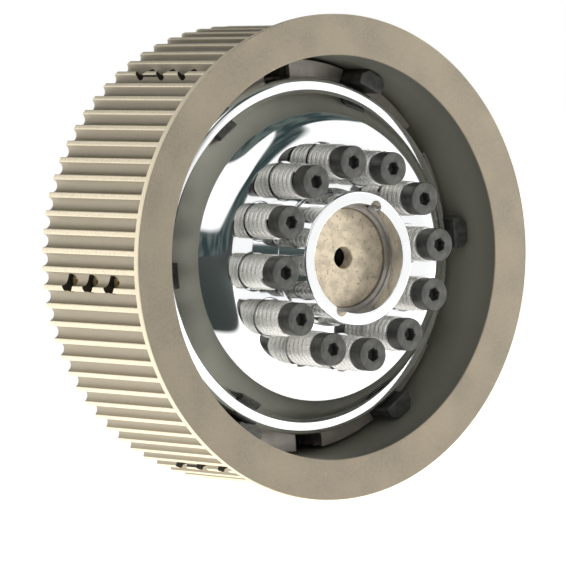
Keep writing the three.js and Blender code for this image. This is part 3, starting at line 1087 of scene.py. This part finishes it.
def springShape(look):
    wire, radius = look["wire"], look["radius"]
    low, high = look["seat"] + wire * look["grind"], look["top"] - wire * look["grind"]
    closedRise = look["closedTurns"] * 2 * wire * 1.02  # closed turns stand a hair apart
    openTurns = look["turns"] - 2 * look["closedTurns"]
    openRise = high - low - 2 * closedRise

    def rise(turn):
        if turn < look["closedTurns"]:
            return low + closedRise * turn / look["closedTurns"]
        if turn > look["turns"] - look["closedTurns"]:
            return high - closedRise * (look["turns"] - turn) / look["closedTurns"]
        return low + closedRise + openRise * (turn - look["closedTurns"]) / openTurns

    shape = bmesh.new()
    rows = []
    steps = int(look["turns"] * look["stepsPerTurn"])
    for k in range(steps + 1):
        turn = look["turns"] * k / steps
        angle = fullTurn * turn
        middle = rise(turn)
        row = []
        for side in evenAngles(look["sides"]):
            height = middle + wire * math.sin(side)
            height = min(max(height, look["seat"]), look["top"])
            row.append(shape.verts.new(spin(radius + wire * math.cos(side), height, angle)))
        rows.append(row)
    for near, far in zip(rows, rows[1:]):
        for i in range(look["sides"]):
            j = (i + 1) % look["sides"]
            shape.faces.new((near[i], near[j], far[j], far[i]))
    shape.faces.new(rows[0])
    shape.faces.new(rows[-1])
    bmesh.ops.recalc_face_normals(shape, faces=shape.faces)
    return shape


def clutchSpring(index, look, material):
    _, angle = cadCentre(f"shoulder_bolt_{index}")
    piece = toObject(f"clutchSpring_{index}", turnAbout(springShape(look), angle + look["start"]))
    piece.location = spin(boltCircle, 0, angle)
    bpy.context.view_layer.update()
    finishPiece(piece, material, "hub", [f"clutch_spring_{index}"], 50)
    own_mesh(piece)
    return piece


studio = {
    "floorSize": 30,  # metres either way
    "floorGlow": 0.86,
    "paperEdge": 0.158,  # metres from the shaft, towards the front left, where polished faces lose the floor
    "edgeFacing": (-0.865, -0.501, 0),
    "room": (0.12, 0.15, 0.14),
    "roomShade": (0.035, 0.055, 0.058),
    "rear": 0.75,  # light from behind the object
    "spill": 0.22,  # share of the world's light that reaches matt surfaces
    "keyPlace": (55, 2),  # azimuth and elevation, degrees
    "keyPower": 33,
    "keySize": (0.55, 0.42),
    "fillPlace": (-105, -22),
    "fillPower": 22,
    "fillSize": (1.0, 0.9),
    "boxDistance": 1.5,
}
# Bright panels round the object, in degrees: azimuth from the open front towards the right
panels = [
    {"azimuth": (32, 76), "elevation": (-12, 36), "soft": 3, "glow": 1.35},
    {"azimuth": (-67, 18), "elevation": (8, 51), "soft": 3, "glow": 1.3, "tip": -15, "slope": 0.12},
    {"azimuth": (-165, -72), "elevation": (-30, 14), "soft": 9, "glow": 1.5},
    {"azimuth": (76, 120), "elevation": (-20, 30), "soft": 9, "glow": 0.5},
]


def addFloor(look):
    shape = bmesh.new()
    bmesh.ops.create_grid(shape, x_segments=1, y_segments=1, size=look["floorSize"])
    floor = toObject("paleFloor", shape)
    floor.location.z = cadBox[0].z - 0.0002
    material, tree, shader = newFinish("palePaper")
    grain = noiseAt(tree, placeInMm(tree), 0.02, 2.0)
    tint = blendColours(tree, grain, (0.93, 0.93, 0.93), (0.95, 0.95, 0.95))
    beyond = addNode(tree, "ShaderNodeVectorMath", operation="DOT_PRODUCT")
    beyond.inputs[1].default_value = look["edgeFacing"]
    tree.links.new(addNode(tree, "ShaderNodeTexCoord").outputs["Object"], beyond.inputs[0])
    offPaper = remap(tree, beyond.outputs["Value"], look["paperEdge"], look["paperEdge"] + 0.01, 0, 1)
    mirrored = multiply(tree, offPaper, addNode(tree, "ShaderNodeLightPath").outputs["Is Glossy Ray"])
    tree.links.new(blendColours(tree, mirrored, tint, look["room"]), shader.inputs["Base Color"])
    shader.inputs["Roughness"].default_value = 0.9
    shader.inputs["Emission Color"].default_value = (1, 1, 1, 1)
    glow = remap(tree, mirrored, 0, 1, look["floorGlow"], 0)
    tree.links.new(glow, shader.inputs["Emission Strength"])
    floor.data.materials.append(material)
    floor.visible_shadow = False  # the low softbox shines through, as light bounced off the paper


def panelMask(tree, azimuth, elevation, panel):  # 1 inside the panel, with soft edges
    soft = panel["soft"]
    west, east = panel["azimuth"]
    low, high = panel["elevation"]
    if "tip" in panel:  # the lower edge rises on both sides of a tip
        aside = maths(tree, "ABSOLUTE", remap(tree, azimuth, panel["tip"] - 90, panel["tip"] + 90, -90, 90))
        elevation = maths(tree, "SUBTRACT", elevation, multiply(tree, aside, panel["slope"]))
    mask = remap(tree, azimuth, west, west + soft, 0, 1)
    mask = multiply(tree, mask, remap(tree, azimuth, east - soft, east, 1, 0))
    mask = multiply(tree, mask, remap(tree, elevation, low, low + soft, 0, 1))
    return multiply(tree, mask, remap(tree, elevation, high - soft, high, 1, 0))


def addSky(look):
    world = bpy.data.worlds.new("paleStudio")
    world.use_nodes = True
    scene.world = world
    tree = world.node_tree
    sky = tree.nodes["Background"]
    split = addNode(tree, "ShaderNodeSeparateXYZ")
    tree.links.new(addNode(tree, "ShaderNodeTexCoord").outputs["Generated"], split.inputs[0])
    forward = multiply(tree, split.outputs["Y"], -1)
    azimuth = multiply(tree, maths(tree, "ARCTAN2", split.outputs["X"], forward), 360 / fullTurn)
    elevation = multiply(tree, maths(tree, "ARCSINE", split.outputs["Z"]), 360 / fullTurn)
    lowDown = remap(tree, elevation, 30, 55, 1, 0.1)
    behind = multiply(tree, remap(tree, split.outputs["Y"], 0.1, 0.6, 0, 1), lowDown)
    streaks = addNode(tree, "ShaderNodeTexNoise")
    streaks.inputs["Scale"].default_value = 5.0
    streaks.inputs["Detail"].default_value = 3.0
    patches = remap(tree, streaks.outputs["Fac"], 0.42, 0.6, 0, 1)
    room = blendColours(tree, patches, look["roomShade"], look["room"])
    light = blendColours(tree, behind, room, (look["rear"],) * 3)
    for panel in panels:
        mask = panelMask(tree, azimuth, elevation, panel)
        light = blendColours(tree, mask, light, (panel["glow"],) * 3)
    path = addNode(tree, "ShaderNodeLightPath")
    dimmed = blendColours(tree, path.outputs["Is Diffuse Ray"], (1, 1, 1), (look["spill"],) * 3)
    lit = blendColours(tree, 1, light, dimmed, "MULTIPLY")
    seen = blendColours(tree, path.outputs["Is Camera Ray"], lit, (1, 1, 1))
    tree.links.new(seen, sky.inputs["Color"])


def addSoftbox(name, place, distance, size, power):
    outward = outwardFrom(*place)
    light = bpy.data.lights.new(name, "AREA")
    light.shape = "RECTANGLE"
    light.size, light.size_y = size
    light.energy = power
    lamp = bpy.data.objects.new(name, light)
    lamp.location = outward * distance + Vector((0, -0.06, 0))  # aimed at the clutch pack
    lamp.rotation_mode = "QUATERNION"
    lamp.rotation_quaternion = outward.to_track_quat("Z", "Y")
    lamp.visible_glossy = False  # the bright panels are what polished faces mirror
    scene.collection.objects.link(lamp)


scene.view_settings.view_transform = "Standard"
addFloor(studio)
addSky(studio)
addSoftbox("keySoftbox", studio["keyPlace"], studio["boxDistance"], studio["keySize"], studio["keyPower"])
addSoftbox("fillSoftbox", studio["fillPlace"], studio["boxDistance"], studio["fillSize"], studio["fillPower"])
print("studio: floor, sky and two softboxes")

anodised = anodisedAlloy(anodisedLook, drumLook)
black = blackOxide(blackLook)
mirror = mirrorAlloy(mirrorLook)
springWire = brightSpringWire(springLook)
blasted = blastedSteel(blastedLook)
lining = frictionLining(liningLook)
plateSteel = machinedMetal("groundPlateSteel", (0.42, 0.385, 0.34), 0.42, 0.6, 1.2)
bearingSteel = machinedMetal("bearingSteel", (0.74, 0.75, 0.77), 0.16, 1.0, 5.0, 0.0015)
turnedAlloy = machinedMetal("turnedAlloy", (0.62, 0.62, 0.63), 0.32, 0.95, 2.4, 0.01)
cageBrass = machinedMetal("cageBrass", (0.72, 0.52, 0.22), 0.3, 0.95, 2.0)
# near-black painted shade for the inside of the drum's screw holes
holeShade = machinedMetal("paintedHoleShade", (0.05, 0.047, 0.04), 0.55, 0.3)
yellowZinc = machinedMetal("yellowZinc", (0.78, 0.60, 0.30), 0.28, 0.95, 2.0)
print("finishes: ready")

beltDrum(drumLook, anodised, holeShade)
for index, angle in enumerate(evenAngles(barCount, barAngle), 1):
    driveBar(index, angle, barLook, black)
for index, (angle, height) in enumerate(screwPlaces(drumLook), 1):
    barScrew(index, angle, height, screwLook, yellowZinc)
print("drum: teeth, bars and screws")

for index in range(1, countNodes("friction_plate_") + 1):
    frictionPlate(index, frictionLook, plateSteel, lining)
for index in range(1, countNodes("steel_plate_") + 1):
    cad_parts[f"steel_plate_{index}"].data.materials[0] = plateSteel
print("clutch pack: friction and steel plates")

innerHub(hubLook, turnedAlloy)
for name, node, wall, side, body in (
    ("bearingInner", "bearing_inner_race", "innerWall", "bore", "hub"),
    ("bearingOuter", "bearing_outer_race", "outerWall", "outside", "drum"),
):
    bearingRace(name, node, bearingLook[wall], bearingLook[side], bearingLook, bearingSteel, body)
ballSet(bearingLook, bearingSteel, cageBrass)
circlip("hubCirclip", "hub_circlip", 16.6, 19.2, math.radians(90), 1, clipLook, black, "hub")
circlip("drumCirclip", "drum_circlip", 28.9, 32.2, math.radians(270), -1, clipLook, black, "drum")
print("hub: splines, bearing and clips")

pressurePlate(plateLook, mirror)
releaseDisc(discLook, blasted)
discSnapRing(snapRingLook, plateSteel)
for index in range(1, boltCount + 1):
    shoulderBolt(index, boltLook, black)
    clutchSpring(index, springSet, springWire)
print("pressure plate: disc, bolts and springs")

bpy.context.view_layer.update()
